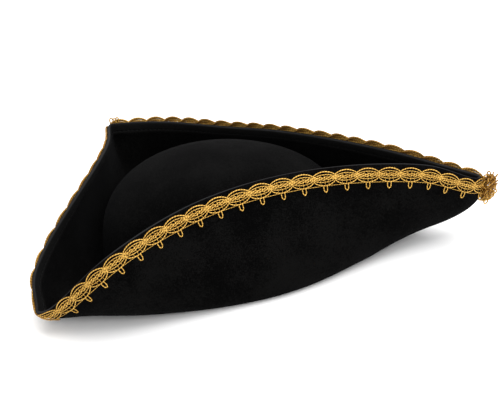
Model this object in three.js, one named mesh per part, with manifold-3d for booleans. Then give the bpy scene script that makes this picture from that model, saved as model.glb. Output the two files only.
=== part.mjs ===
// A tricorn hat of black felt with a gold braid along its three turned-up flaps, in millimetres.
// The origin is the middle of the whole hat in plan, at the height of the surface that it lies on.
// +X points to the front corner, +Y to the wearer's left and +Z up. The sections below are measured
// from the middle of the crown's opening, and the finished hat is moved to its own middle at the end.
import * as THREE from "three";
import { mergeVertices } from "three/addons/utils/BufferGeometryUtils.js";
import Module from "manifold-3d";

const wasm = await Module();
wasm.setup();

// Crown
const CROWN_LENGTH = 212; // outside, front to back, where it meets the brim
const CROWN_WIDTH = 172; // outside, side to side
const CROWN_TAPER = 0.05; // how much narrower the opening is at the front, as a share
const CROWN_HEIGHT = 84;
const CROWN_SQUARENESS = 2.45; // power of the dome's curve: 2 is a plain ellipsoid
const CROWN_LEAN = 2; // how far the top lies behind the middle of the opening
const CROWN_BEND = 5; // radius of the bend from the crown into the brim

// Brim
const FELT = 2.4; // thickness of the felt
const BRIM_WIDTH = 107; // reach of the front corner beyond the crown
const BRIM_RISE = 88; // height above the surface that a rise of 1 stands for
const BRIM_FLAT = 9; // width of the level part next to the bend
const PRESSED = 0.5; // how much the felt is pressed flat where it lies on the surface
const CORNER_FOLD = 5; // half the width of the folds at the three corners
const CORNER_SPREAD = 2; // degrees between the lines that run up into a fold

// Braid
const BRAID_PITCH = 18.4; // length of one motif
const BRAID_WIDTH = 12.4; // without the loops under it
const BRAID_THICKNESS = 1.5;
const BRAID_GAP = 0.6; // between the felt and the braid's back
const BRAID_CLEAR = 0.3; // what is kept of that gap where the felt's facets bulge
const BRAID_JOINT = 1; // space between two lengths of braid where they meet at a corner
const BRAID_DROP = { right: 1.5, left: -5.2, rear: 0.2 }; // top of the scallops below the felt's edge

// Gather of braid at the front corner
const GATHER = { length: 17, width: 17, height: 34, lobes: 9, lobeDepth: 0.13, below: 13, ahead: 3.5 };
const GATHER_GAP = 0.6;

// Fineness of the surfaces
const COLUMN_PITCH = 15; // along the brim's edge
const CROWN_ROWS = 8;
const BEND_ROWS = 2;
const BRIM_ROWS = 9;
const GATHER_STEPS = { around: 27, up: 10 };

// The sections of the brim, from the front corner round by the right side. Each leaves the crown at
// the angle root, bellies out and ends at the edge. root, bellyTurn and turn are degrees from the
// front. bellyReach and reach are shares of BRIM_WIDTH beyond the crown's oval, and bellyRise and
// rise are shares of BRIM_RISE. The brim is folded at each section whose name ends in corner.
const SECTION_COLUMNS = ["at", "root", "bellyTurn", "bellyReach", "bellyRise", "turn", "reach", "rise"];
const SECTIONS = [
  ["front corner", 0, 1, 1.2, 0.12, 2, 1.0, 0.57],
  ["right nose", -10, -6, 0.8, 0.09, -1.5, 0.66, 0.765],
  ["right front", -24, -18, 0.4, 0.03, -7, 0.2, 0.885],
  ["right fore", -45, -41, 0.19, 0.2, -25, -0.2, 0.952],
  ["right middle", -72, -73, 0.2, 0.08, -70, -0.22, 0.982],
  ["right aft", -96, -102, 0.42, 0, -106, 0.04, 0.937],
  ["right rear", -118, -121, 0.7, 0, -122, 0.46, 0.735],
  ["right corner", -139, -138, 0.76, 0, -138.5, 0.8, 0.21],
  ["rear near right", -147, -145, 0.62, 0.02, -143.1, 0.72, 0.38],
  ["rear right", -157, -154, 0.42, 0.04, -152.1, 0.5, 0.505],
  ["rear", -170, -168, 0.25, 0.1, -165.6, 0.16, 0.74],
  ["rear left", -190, -188, 0.18, 0.12, -187, 0, 0.86],
  ["rear far left", -205, -205, 0.22, 0.18, -207, 0.12, 0.875],
  ["left corner", -219, -220, 0.42, 0.3, -222.5, 0.5, 0.8],
  ["left rear", -238, -237, 0.36, 0.05, -239, 0.31, 0.768],
  ["left aft", -262, -262, 0.3, 0.03, -267.5, 0.03, 0.768],
  ["left middle", -290, -291, 0.18, 0.03, -304, -0.08, 0.818],
  ["left fore", -315, -319, 0.16, 0.06, -335, 0, 0.838],
  ["left front", -338, -345, 0.35, 0.12, -354.8, 0.36, 0.83],
  ["left nose", -350, -353, 0.8, 0.15, -356.9, 0.72, 0.685],
].map((row) => Object.fromEntries(row.map((value, k) => [SECTION_COLUMNS[k], value])));

// One motif of the braid, flat: along as a share of BRAID_PITCH, down as a share of BRAID_WIDTH.
// The scallop runs from joint to joint, then the straight lower thread with the loop under it.
const SCALLOP = [[0, 0.3], [0.12, 0.12], [0.3, 0.02], [0.5, 0], [0.7, 0.02], [0.88, 0.12], [1, 0.3]];
const LOOP = [[0.6, 1], [0.65, 1.16], [0.6, 1.34], [0.5, 1.4], [0.4, 1.34], [0.35, 1.16], [0.4, 1]];
const LOOP_HOLE = [[0.43, 1.15], [0.45, 1.27], [0.55, 1.27], [0.57, 1.15], [0.5, 1.04]];
const LOWER_THREAD = 0.94; // where the motifs join below
const WAIST = [[0, 0.48], [0.33, 0.48], [0.67, 0.48], [1, 0.48]]; // the line that each motif bends along

const SHEET_MIDDLE = FELT / 2; // height of the sheet's middle where the brim lies level
const FULL_TURN = 360; // degrees
const ONE_POINT = 1e-4; // points nearer than this are one
const radians = THREE.MathUtils.degToRad;

// The oval of the crown's opening at an angle in degrees, and the way out from it.
function oval(degrees) {
  const halfLength = CROWN_LENGTH / 2 - SHEET_MIDDLE;
  const turn = radians(degrees);
  const halfWidth = (CROWN_WIDTH / 2 - SHEET_MIDDLE) * (1 - CROWN_TAPER * Math.cos(turn));
  const reach = 1 / Math.hypot(Math.cos(turn) / halfLength, Math.sin(turn) / halfWidth);
  const point = new THREE.Vector3(Math.cos(turn), Math.sin(turn), 0).multiplyScalar(reach);
  const out = new THREE.Vector3(point.x / halfLength ** 2, point.y / halfWidth ** 2, 0).normalize();
  return { point, out };
}

// A point at a turn in degrees, a share of BRIM_WIDTH beyond the oval and a share of BRIM_RISE up.
function brimPoint(turn, reach, rise) {
  const { point } = oval(turn);
  const length = point.length();
  point.multiplyScalar((length + reach * BRIM_WIDTH) / length);
  return point.setZ(rise * BRIM_RISE);
}

// Each corner becomes three sections, so that its fold is round.
function foldedSections() {
  return SECTIONS.flatMap((section) => {
    const belly = brimPoint(section.bellyTurn, section.bellyReach, section.bellyRise);
    const edge = brimPoint(section.turn, section.reach, section.rise);
    if (!section.at.endsWith("corner")) return [{ ...section, belly, edge }];
    return [1, 0, -1].map((side) => {
      const shifted = (point) => {
        const out = new THREE.Vector3(point.x, point.y, 0).normalize();
        const across = new THREE.Vector3(-out.y, out.x, 0);
        return point
          .clone()
          .addScaledVector(across, side * CORNER_FOLD)
          .addScaledVector(out, -Math.abs(side) * CORNER_FOLD);
      };
      const root = section.root + side * CORNER_SPREAD;
      return { ...section, root, belly: shifted(belly), edge: shifted(edge), tip: side === 0 };
    });
  });
}

// The columns of the sheet: where each leaves the crown, its belly and its edge.
function brimColumns() {
  const sections = foldedSections();
  const count = sections.length;
  const edges = new THREE.CatmullRomCurve3(sections.map((s) => s.edge), true, "centripetal");
  const bellies = new THREE.CatmullRomCurve3(sections.map((s) => s.belly), true, "centripetal");
  const angles = [...sections.map((s) => s.root), sections[0].root - FULL_TURN];
  const roots = new THREE.CatmullRomCurve3(angles.map((angle) => new THREE.Vector3(angle, 0, 0)));
  return sections.flatMap((section, i) => {
    const length = section.edge.distanceTo(sections[(i + 1) % count].edge);
    const steps = Math.max(1, Math.round(length / COLUMN_PITCH));
    return Array.from({ length: steps }, (_, k) => {
      const share = (i + k / steps) / count;
      return {
        root: roots.getPoint(share).x,
        belly: bellies.getPoint(share),
        edge: edges.getPoint(share),
        tip: k === 0 && section.tip ? section.at : null,
      };
    });
  });
}

// The middle of the felt along one column, from just below the top of the crown to the edge.
function sectionPoints(column) {
  const points = [];
  const dome = CROWN_HEIGHT - SHEET_MIDDLE;
  const bendTop = SHEET_MIDDLE + CROWN_BEND;
  const { point: rim, out } = oval(column.root);
  const lean = (z) => CROWN_LEAN * (z / dome) ** 2;
  for (let i = 1; i <= CROWN_ROWS; i += 1) {
    const slope = (Math.PI / 2) * (1 - i / CROWN_ROWS);
    const around = Math.cos(slope) ** (2 / CROWN_SQUARENESS);
    const up = Math.sin(slope) ** (2 / CROWN_SQUARENESS);
    const z = bendTop + (dome - bendTop) * up;
    points.push(new THREE.Vector3(rim.x * around - lean(z - bendTop), rim.y * around, z));
  }
  for (let i = 1; i <= BEND_ROWS; i += 1) {
    const turn = (Math.PI / 2) * (i / BEND_ROWS);
    const point = rim.clone().addScaledVector(out, CROWN_BEND * (1 - Math.cos(turn)));
    points.push(point.setZ(bendTop - CROWN_BEND * Math.sin(turn)));
  }
  const start = points.at(-1).clone();
  const level = start.clone().addScaledVector(out, BRIM_FLAT);
  const curve = new THREE.CubicBezierCurve3(start, level, column.belly, column.edge);
  for (let i = 1; i <= BRIM_ROWS; i += 1) {
    const point = curve.getPoint(i / BRIM_ROWS);
    points.push(point.setZ(Math.max(point.z, SHEET_MIDDLE)));
  }
  return points;
}

// The faces between a pole and the rows of a closed grid, as triples of vertex numbers.
function gridFaces(rows, columns, pole, number) {
  const faces = [];
  for (let j = 0; j < columns; j += 1) {
    const next = (j + 1) % columns;
    faces.push([pole, number(0, j), number(0, next)]);
    for (let i = 0; i + 1 < rows; i += 1) {
      faces.push([number(i, j), number(i + 1, j), number(i + 1, next)]);
      faces.push([number(i, j), number(i + 1, next), number(i, next)]);
    }
  }
  return faces;
}

function geometryOf(points, faces) {
  const geometry = new THREE.BufferGeometry();
  geometry.setAttribute("position", new THREE.Float32BufferAttribute(points.flatMap((p) => p.toArray()), 3));
  geometry.setIndex(faces.flat());
  return geometry;
}

const columns = brimColumns();
const sheet = columns.map(sectionPoints);
const ROWS = CROWN_ROWS + BEND_ROWS + BRIM_ROWS;
const crownTop = new THREE.Vector3(-CROWN_LEAN, 0, CROWN_HEIGHT - SHEET_MIDDLE);

// The way from the felt's middle to its upper face at the pole and at each point of the sheet.
const upward = (() => {
  const points = [crownTop, ...sheet.flat()];
  const number = (i, j) => 1 + j * ROWS + i;
  const geometry = geometryOf(points, gridFaces(ROWS, columns.length, 0, (i, j) => number(i, j)));
  geometry.computeVertexNormals();
  const normals = geometry.getAttribute("normal");
  const sign = Math.sign(normals.getZ(0));
  const at = (n) => new THREE.Vector3().fromBufferAttribute(normals, n).multiplyScalar(sign);
  return { pole: at(0), at: (i, j) => at(number(i, j)) };
})();

// One face of the felt at half a thickness from its middle: side 1 is the upper face, -1 the under
// face, which is pressed flat where it lies on the surface.
function faceOf(thickness, side) {
  const half = (side * thickness) / 2;
  const lowest = side < 0 ? PRESSED - (thickness - FELT) / 2 : 0;
  const faced = (middle, up) => {
    const point = middle.clone().addScaledVector(up, half);
    return point.setZ(Math.max(point.z, lowest));
  };
  return {
    pole: faced(crownTop, upward.pole),
    columns: sheet.map((column, j) => column.map((p, i) => faced(p, upward.at(i, j)))),
  };
}

// The felt as one closed sheet: the upper face, the under face and the rim between them.
function feltGeometry(thickness) {
  const upper = faceOf(thickness, 1);
  const under = faceOf(thickness, -1);
  const count = columns.length;
  const perFace = 1 + count * ROWS;
  const points = [upper.pole, ...upper.columns.flat(), under.pole, ...under.columns.flat()];
  const number = (side) => (i, j) => side * perFace + 1 + j * ROWS + i;
  const faces = gridFaces(ROWS, count, 0, number(0)).map((f) => f.toReversed());
  faces.push(...gridFaces(ROWS, count, perFace, number(1)));
  const last = ROWS - 1;
  for (let j = 0; j < count; j += 1) {
    const next = (j + 1) % count;
    const [a, b] = [number(0)(last, j), number(0)(last, next)];
    const [c, d] = [number(1)(last, next), number(1)(last, j)];
    faces.push([a, b, c], [a, c, d]);
  }
  return geometryOf(points, faces);
}

const underFace = faceOf(FELT, -1).columns;
const edgeLine = underFace.map((column) => column.at(-1));
const edgeLengths = edgeLine.reduce(
  (sums, point, j) => [...sums, sums.at(-1) + point.distanceTo(edgeLine[(j + 1) % edgeLine.length])],
  [0],
);

// The place and the way up at a distance down from the edge on one column of the under face. Above
// the edge the line runs straight on.
function downColumn(j, down) {
  let left = down;
  let i = ROWS - 1;
  let step = underFace[j][i].distanceTo(underFace[j][i - 1]);
  while (left > step && i > 1) {
    left -= step;
    i -= 1;
    step = underFace[j][i].distanceTo(underFace[j][i - 1]);
  }
  const share = left / step;
  return {
    point: underFace[j][i].clone().lerp(underFace[j][i - 1], share),
    up: upward.at(i, j).lerp(upward.at(i - 1, j), Math.max(share, 0)),
  };
}

// The place of a point of the flat braid: along the edge, down from it and out from the felt.
function braidPlace(along, down, out) {
  const total = edgeLengths.at(-1);
  const wrapped = ((along % total) + total) % total;
  const j = Math.min(edgeLengths.findLastIndex((length) => length <= wrapped), columns.length - 1);
  const share = (wrapped - edgeLengths[j]) / (edgeLengths[j + 1] - edgeLengths[j]);
  const here = downColumn(j, down);
  const next = downColumn((j + 1) % columns.length, down);
  const normal = here.up.lerp(next.up, share).normalize();
  return here.point.lerp(next.point, share).addScaledVector(normal, -out);
}

// A length of braid from one distance along the edge to another, as one pierced band.
function braidGeometry(from, to, drop) {
  const motifs = Math.round((to - from) / BRAID_PITCH);
  const pitch = (to - from) / motifs;
  const strips = [
    { outline: [...SCALLOP, ...WAIST.toReversed()], holes: [] },
    { outline: [...WAIST, [1, LOWER_THREAD], ...LOOP, [0, LOWER_THREAD]], holes: [LOOP_HOLE] },
  ];
  const points = [];
  const faces = [];
  for (let m = 0; m < motifs; m += 1) {
    const joined = ([a], [b]) => (a === 0 && b === 0 && m > 0) || (a === 1 && b === 1 && m + 1 < motifs);
    const inside = (p, q) => (WAIST.includes(p) && WAIST.includes(q)) || joined(p, q);
    for (const { outline, holes } of strips) {
      const flat = [...outline, ...holes.flat()];
      const [shape, ...pierced] = [outline, ...holes].map((loop) => loop.map((p) => new THREE.Vector2(...p)));
      const base = points.length;
      for (const out of [BRAID_GAP, BRAID_GAP + BRAID_THICKNESS]) {
        for (const [along, down] of flat) {
          points.push(braidPlace(from + (m + along) * pitch, drop + down * BRAID_WIDTH, out));
        }
      }
      const front = base + flat.length;
      for (const [a, b, c] of THREE.ShapeUtils.triangulateShape(shape, pierced)) {
        faces.push([base + a, base + b, base + c], [front + a, front + c, front + b]);
      }
      let first = 0;
      for (const loop of [outline, ...holes]) {
        loop.forEach((point, k) => {
          const next = (k + 1) % loop.length;
          if (inside(point, loop[next])) return;
          const [a, b] = [first + k, first + next];
          faces.push([base + a, front + a, front + b], [base + a, front + b, base + b]);
        });
        first += loop.length;
      }
    }
  }
  return geometryOf(points, faces);
}

function solid(geometry) {
  const bare = geometry.clone();
  bare.deleteAttribute("normal");
  bare.deleteAttribute("uv");
  const merged = mergeVertices(bare, ONE_POINT);
  return new wasm.Manifold(
    new wasm.Mesh({
      numProp: 3,
      vertProperties: new Float32Array(merged.getAttribute("position").array),
      triVerts: new Uint32Array(merged.index.array),
    }),
  );
}

// The same surface with its faces turned outward.
function facingOut(geometry) {
  const made = solid(geometry);
  if (made.volume() > 0) return geometry;
  const index = geometry.index.array;
  for (let i = 0; i < index.length; i += 3) {
    [index[i + 1], index[i + 2]] = [index[i + 2], index[i + 1]];
  }
  return geometry;
}

function fromSolid(made) {
  const mesh = made.getMesh();
  const geometry = new THREE.BufferGeometry();
  geometry.setAttribute("position", new THREE.Float32BufferAttribute(mesh.vertProperties, 3));
  geometry.setIndex(new THREE.Uint32BufferAttribute(mesh.triVerts, 1));
  return geometry;
}

// The gather: an upright lobed cushion in front of the front corner, hollowed where the felt's nose is.
function gatherGeometry(tip) {
  const { around, up } = GATHER_STEPS;
  const centre = tip.clone().add(new THREE.Vector3(GATHER.ahead, 0, -GATHER.below));
  const half = new THREE.Vector3(GATHER.length, GATHER.width, GATHER.height).multiplyScalar(0.5);
  const ring = (i, j) => {
    const rise = Math.PI * ((i + 1) / up - 0.5);
    const turn = (2 * Math.PI * j) / around;
    const lobe = 1 - GATHER.lobeDepth * (1 + Math.cos(GATHER.lobes * turn)) * Math.cos(rise);
    const out = Math.cos(rise) * lobe;
    return new THREE.Vector3(out * Math.cos(turn), out * Math.sin(turn), Math.sin(rise));
  };
  const rows = up - 1;
  const unit = [new THREE.Vector3(0, 0, -1)];
  for (let j = 0; j < around; j += 1) {
    for (let i = 0; i < rows; i += 1) unit.push(ring(i, j));
  }
  unit.push(new THREE.Vector3(0, 0, 1));
  const number = (i, j) => 1 + (j % around) * rows + i;
  const faces = gridFaces(rows, around, 0, number);
  for (let j = 0; j < around; j += 1) {
    faces.push([unit.length - 1, number(rows - 1, j + 1), number(rows - 1, j)]);
  }
  const cushion = facingOut(geometryOf(unit.map((p) => p.clone().multiply(half).add(centre)), faces));
  const grown = [1, -1].flatMap((side) => faceOf(FELT + 2 * GATHER_GAP, side).columns.flat());
  const nose = grown.filter((p) => p.distanceTo(tip) < GATHER.height);
  const clear = new THREE.Vector3(0, 0, GATHER_GAP);
  const hollow = [...nose, ...nose.map((p) => p.clone().add(clear))];
  return fromSolid(solid(cushion).subtract(wasm.Manifold.hull(hollow.map((p) => p.toArray()))));
}

const felt = new THREE.MeshStandardMaterial({ color: 0x17171a, roughness: 0.95, metalness: 0 });
const gold = new THREE.MeshStandardMaterial({ color: 0xb98a34, roughness: 0.5, metalness: 0.4 });

const hat = new THREE.Group();
function add(name, geometry, material) {
  const mesh = new THREE.Mesh(geometry, material);
  mesh.name = name;
  hat.add(mesh);
}

const tipColumn = (name) => columns.findIndex((column) => column.tip === name);
const [frontTip, rightTip, leftTip] = ["front corner", "right corner", "left corner"].map(
  (name) => edgeLengths[tipColumn(name)],
);
const gatherSide = GATHER.length / 2 + BRAID_JOINT;
const halfJoint = BRAID_JOINT / 2;
const grownFelt = solid(facingOut(feltGeometry(FELT + 2 * BRAID_CLEAR)));

add("felt_body", facingOut(feltGeometry(FELT)), felt);
for (const [side, from, to] of [
  ["right", frontTip + gatherSide, rightTip - halfJoint],
  ["rear", rightTip + halfJoint, leftTip - halfJoint],
  ["left", leftTip + halfJoint, frontTip + edgeLengths.at(-1) - gatherSide],
]) {
  const band = solid(facingOut(braidGeometry(from, to, BRAID_DROP[side])));
  add("braid_" + side, fromSolid(band.subtract(grownFelt)), gold);
}
add("front_gather", gatherGeometry(edgeLine[tipColumn("front corner")]), gold);

const bounds = new THREE.Box3().setFromObject(hat);
const middle = bounds.getCenter(new THREE.Vector3());
hat.position.set(-middle.x, -middle.y, -bounds.min.z);

export default hat;
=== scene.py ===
"""Looks of a black wool felt tricorn hat edged with gold gimp braid, in metres.

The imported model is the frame. The felt is its solid made smooth, and the braid's cords follow the
felt's edge where the solid bands are.
"""

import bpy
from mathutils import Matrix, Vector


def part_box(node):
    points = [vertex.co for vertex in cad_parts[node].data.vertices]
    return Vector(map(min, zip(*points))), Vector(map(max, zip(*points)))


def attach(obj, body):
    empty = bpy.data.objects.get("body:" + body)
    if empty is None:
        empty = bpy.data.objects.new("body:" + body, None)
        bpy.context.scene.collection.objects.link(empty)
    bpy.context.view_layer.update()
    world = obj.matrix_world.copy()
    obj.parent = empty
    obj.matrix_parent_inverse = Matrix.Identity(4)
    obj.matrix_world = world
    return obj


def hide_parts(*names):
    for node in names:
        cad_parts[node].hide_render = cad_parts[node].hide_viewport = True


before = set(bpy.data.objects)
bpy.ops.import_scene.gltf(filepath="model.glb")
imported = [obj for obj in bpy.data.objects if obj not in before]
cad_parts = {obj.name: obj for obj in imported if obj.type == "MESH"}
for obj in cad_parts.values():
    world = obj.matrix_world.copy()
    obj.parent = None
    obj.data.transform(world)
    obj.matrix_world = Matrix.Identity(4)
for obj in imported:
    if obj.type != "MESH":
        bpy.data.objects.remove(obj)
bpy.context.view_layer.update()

import itertools
import logging
import math
from dataclasses import dataclass, field
from enum import Enum

import bmesh
import bpy
import numpy as np
from mathutils import Matrix, Vector
from mathutils.bvhtree import BVHTree

LOG = logging.getLogger("tricorn")
MM = 0.001
EDGE_UV = "edge_line"
PAINTED_LIGHT_ATTR = "crown"
NOISE_RANGE = (0.2, 0.8)
MIX_COLOURS = (6, 7)
MIX_RESULT = 2
Colour = tuple[float, float, float]
Place = tuple[float, float, float]
Range = tuple[float, float]
Spot = tuple[Vector, Vector]
Socket = bpy.types.NodeSocket
Feed = Socket | float | tuple[float, ...]
Inputs = dict[str | int, Feed]


class Side(Enum):
    """The parts of the felt's surface, each with the number of its material."""

    INNER = 0
    OUTER = 1
    RIM = 2


class Corner(Enum):
    """The hat's three corners, as degrees from the front seen from the middle of the crown."""

    FRONT = 2.0
    RIGHT = -138.5
    LEFT = -222.5


class Flap(Enum):
    """The three flaps, by the name of the solid band along each."""

    RIGHT = "braid_right"
    REAR = "braid_rear"
    LEFT = "braid_left"


@dataclass(frozen=True)
class Grain:
    """One noise pattern of a finish.

    Args:
        scale: How many times it repeats in a metre.
        detail: How many finer layers it has.
        distortion: How much it swirls.
    """

    scale: float
    detail: float = 3.0
    distortion: float = 0.0


@dataclass
class Recipe:
    """A procedural material and short ways to write its nodes.

    Args:
        name: The material's name.
    """

    name: str
    material: bpy.types.Material = field(init=False)
    tree: bpy.types.NodeTree = field(init=False)
    shader: bpy.types.Node = field(init=False)

    def __post_init__(self) -> None:
        """Make the material with only its shader and output."""
        self.material = bpy.data.materials.new(self.name)
        self.material.use_nodes = True
        self.tree = self.material.node_tree
        self.shader = self.tree.nodes["Principled BSDF"]

    def node(self, kind: str, inputs: Inputs | None = None, **settings: str) -> bpy.types.Node:
        """Add a node.

        Args:
            kind: The node's type.
            inputs: Values or other nodes' outputs, by the socket's name or number.
            settings: The node's own settings.

        Returns:
            The node.
        """
        made = self.tree.nodes.new(kind)
        for name, value in settings.items():
            setattr(made, name, value)
        for key, value in (inputs or {}).items():
            self.feed(made.inputs[key], value)
        return made

    def feed(self, socket: Socket, value: Feed) -> None:
        """Link an output to a socket, or set the socket's own value.

        Args:
            socket: The socket to feed.
            value: An output, or a plain value.
        """
        if isinstance(value, Socket):
            self.tree.links.new(value, socket)
        else:
            socket.default_value = value

    def finish(self, **values: Feed) -> bpy.types.Material:
        """Feed the shader and return the material.

        Args:
            values: Outputs or plain values, by the shader socket's name with lines for its spaces.

        Returns:
            The material.
        """
        for name, value in values.items():
            self.feed(self.shader.inputs[name.replace("_", " ")], value)
        return self.material

    def math(self, operation: str, *values: Feed) -> Socket:
        """Combine numbers with one Math node and return its output."""
        return self.node("ShaderNodeMath", dict(enumerate(values)), operation=operation).outputs[0]

    def noise(self, vector: Socket, grain: Grain) -> Socket:
        """Add a noise pattern.

        Args:
            vector: The coordinates that it follows.
            grain: The pattern.

        Returns:
            Its strength, from 0 to 1.
        """
        inputs = {"Scale": grain.scale, "Detail": grain.detail, "Distortion": grain.distortion}
        return self.node("ShaderNodeTexNoise", {"Vector": vector, **inputs}).outputs[0]

    def step(self, value: Socket, low: float, high: float, start: float = 0.0, end: float = 1.0) -> Socket:
        """Ease from one number to another.

        Args:
            value: The value that it follows.
            low: The value at which it starts.
            high: The value at which it has ended.
            start: The result up to there.
            end: The result from there on.

        Returns:
            The result.
        """
        inputs = {"Value": value, "From Min": low, "From Max": high, "To Min": start, "To Max": end}
        return self.node("ShaderNodeMapRange", inputs, interpolation_type="SMOOTHSTEP").outputs[0]

    def blend(self, share: Feed, *colours: Socket | Colour) -> Socket:
        """Mix two colours.

        Args:
            share: The second colour's share.
            colours: The two colours.

        Returns:
            The mixed colour.
        """
        made = self.node("ShaderNodeMix", {0: share}, data_type="RGBA")
        for number, colour in zip(MIX_COLOURS, colours):
            self.feed(made.inputs[number], (*colour, 1.0) if isinstance(colour, tuple) else colour)
        return made.outputs[MIX_RESULT]

    def bump(self, height: Socket, distance: float, strength: float, normal: Socket | None = None) -> Socket:
        """Add a bump on top of another and return the normal.

        Args:
            height: The relief, from 0 to 1.
            distance: The relief's depth in metres.
            strength: Its share.
            normal: The normal that it starts from.

        Returns:
            The new normal.
        """
        made = self.node("ShaderNodeBump", {"Height": height, "Distance": distance, "Strength": strength})
        if normal is not None:
            self.feed(made.inputs["Normal"], normal)
        return made.outputs[0]


@dataclass(frozen=True)
class FeltFinish:
    """Black wool felt: matted fibres, a faint mottle, and a stitched line inside the edge; its faces carry
    painted shade and its rim a painted highlight.

    Args:
        dark: Its colour between the fibres.
        light: Its colour on them.
        pale_and_highlight: Its paler colour on the rim, partly trimmed fibres and partly painted highlight
            where light falls on the rim, and the stitches' colour.
        black: The painted shade colour, blended into the inner faces near the edge and into the outer faces.
        mottle: The mottle.
        cloud: The broad change of tone.
        fibre: The matted fibres.
        nap: The finest fuzz.
        fuzz_shares: How much of the fuzz is fibre, and how much nap.
        tone_shares: How much the fuzz, the mottle and the cloud add to the tone, and what is taken off.
        tones: The sums at which the tone is dark and light.
        fuzz_depth: How deep the fuzz is.
        relief: How strong all relief is.
        shade: How dark the painted shade inside the flaps is.
        inner_shade: How far down from the edge the painted shade starts to end, and has ended.
        outer_shade: How much painted shade darkens the outer faces.
        worn_and_lit_shares: How much the fuzz and the mottle add to the rim's mix, partly wear and partly
            painted highlight.
        worn_and_lit: The sums at which the rim has the light colour, and the paler one.
        ragged: How far down the pale band along the edge, partly trimmed fibres and partly painted
            highlight, starts to end, and has ended.
        edge_pale_and_lit: How strongly it shows.
        stitch_line: How far down the stitched line lies.
        stitch_groove: How wide its groove is.
        stitch_depth: How deep it is.
        stitch_pitch: The length of a stitch with its gap.
        stitch_rise: Where in that length the thread comes up.
        stitch_fall: Where it goes down.
        thread_edge: The groove's depths at which the thread starts and is full.
        thread_height: How high the thread stands in the groove.
        thread_light: How strongly its colour shows.
        band_highlight: How much painted highlight lightens the felt, as on a raised band, just below the
            line.
        roughness: The roughness of the least and the most fuzz.
        specular: The strength of its reflection.
        sheen: The strength of its sheen.
        sheen_roughness: The sheen's roughness.
        sheen_tint: The sheen's colour.
    """

    dark: Colour = (0.0016, 0.0015, 0.0015)
    light: Colour = (0.0235, 0.0230, 0.0222)
    pale_and_highlight: Colour = (0.018, 0.018, 0.019)
    black: Colour = (0.0008, 0.0008, 0.0008)
    mottle: Grain = Grain(38.0, 4.0)
    cloud: Grain = Grain(9.0, 2.0)
    fibre: Grain = Grain(430.0, 5.0, 2.2)
    nap: Grain = Grain(2300.0, 3.0, 1.0)
    fuzz_shares: tuple[float, float] = (0.65, 0.35)
    tone_shares: tuple[float, float, float, float] = (1.1, 0.4, 0.25, 0.45)
    tones: Range = (0.35, 0.52)
    fuzz_depth: float = 0.8 * MM
    relief: float = 0.9
    shade: float = 0.9
    inner_shade: Range = (0.075, 0.1)
    outer_shade: float = 0.86
    worn_and_lit_shares: tuple[float, float] = (0.7, 0.5)
    worn_and_lit: Range = (0.2, 0.9)
    ragged: Range = (0.4 * MM, 2.0 * MM)
    edge_pale_and_lit: float = 0.6
    stitch_line: float = 7.2 * MM
    stitch_groove: float = 1.1 * MM
    stitch_depth: float = 1.0 * MM
    stitch_pitch: float = 4.0 * MM
    stitch_rise: Range = (0.0, 0.15)
    stitch_fall: Range = (0.6, 0.75)
    thread_edge: Range = (0.55, 0.85)
    thread_height: float = 0.8
    thread_light: float = 0.5
    band_highlight: float = 0.2
    roughness: Range = (0.86, 1.0)
    specular: float = 0.02
    sheen: float = 0.012
    sheen_roughness: float = 0.45
    sheen_tint: Colour = (0.75, 0.76, 0.8)

    def build(self, side: Side) -> bpy.types.Material:
        """Make the felt's material for one side.

        Args:
            side: The inner face has the stitched line, and the rim is paler: trimmed fibres, and a painted
                highlight where light falls on it.

        Returns:
            The material.
        """
        made = Recipe(f"wool_felt_{side.name.lower()}")
        place = made.node("ShaderNodeTexCoord").outputs["Object"]
        mottle = made.noise(place, self.mottle)
        cloud = made.noise(place, self.cloud)
        fibre = made.math("MULTIPLY", made.noise(place, self.fibre), self.fuzz_shares[0])
        nap = made.math("MULTIPLY", made.noise(place, self.nap), self.fuzz_shares[1])
        fuzz = made.math("ADD", fibre, nap)
        by_fuzz, by_mottle, by_cloud, less = self.tone_shares
        share = made.math("MULTIPLY_ADD", fuzz, by_fuzz, made.math("MULTIPLY", mottle, by_mottle))
        share = made.math("MULTIPLY_ADD", cloud, by_cloud, made.math("SUBTRACT", share, less))
        colour = made.blend(made.step(share, *self.tones), self.dark, self.light)
        normal = made.bump(fuzz, self.fuzz_depth, self.relief)
        uv = made.node("ShaderNodeUVMap", uv_map=EDGE_UV).outputs[0]
        along, down = made.node("ShaderNodeSeparateXYZ", {0: uv}).outputs[:2]
        if side is Side.INNER:
            # Painted shade: the inner faces are darkened towards black near the edge.
            inner_shade = made.step(down, *self.inner_shade, self.shade, 0.0)
            colour = made.blend(inner_shade, colour, self.black)
            colour, normal = self.stitch(made, along, down, colour, normal)
        if side is Side.OUTER:
            # Painted shade: the outer faces are darkened towards black.
            colour = made.blend(self.outer_shade, colour, self.black)
        if side is Side.RIM:
            # The rim gets no painted shade; its paler colour is partly trimmed fibres and partly painted
            # highlight where light falls on it.
            by_fuzz, by_mottle = self.worn_and_lit_shares
            worn_and_lit = made.math("MULTIPLY_ADD", fuzz, by_fuzz, made.math("MULTIPLY", mottle, by_mottle))
            colour = made.blend(made.step(worn_and_lit, *self.worn_and_lit), self.light, self.pale_and_highlight)
        else:
            # Near the edge the faces take the same paler colour, partly painted highlight, with a ragged
            # border.
            ragged = made.math("ADD", down, made.math("MULTIPLY", mottle, MM))
            edge = made.step(ragged, *self.ragged, self.edge_pale_and_lit, 0.0)
            colour = made.blend(edge, colour, self.pale_and_highlight)
        return made.finish(
            Base_Color=colour,
            Roughness=made.step(fuzz, *NOISE_RANGE, *self.roughness),
            Normal=normal,
            Sheen_Weight=self.sheen,
            Sheen_Roughness=self.sheen_roughness,
            Sheen_Tint=(*self.sheen_tint, 1.0),
            Specular_IOR_Level=self.specular,
        )

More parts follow.
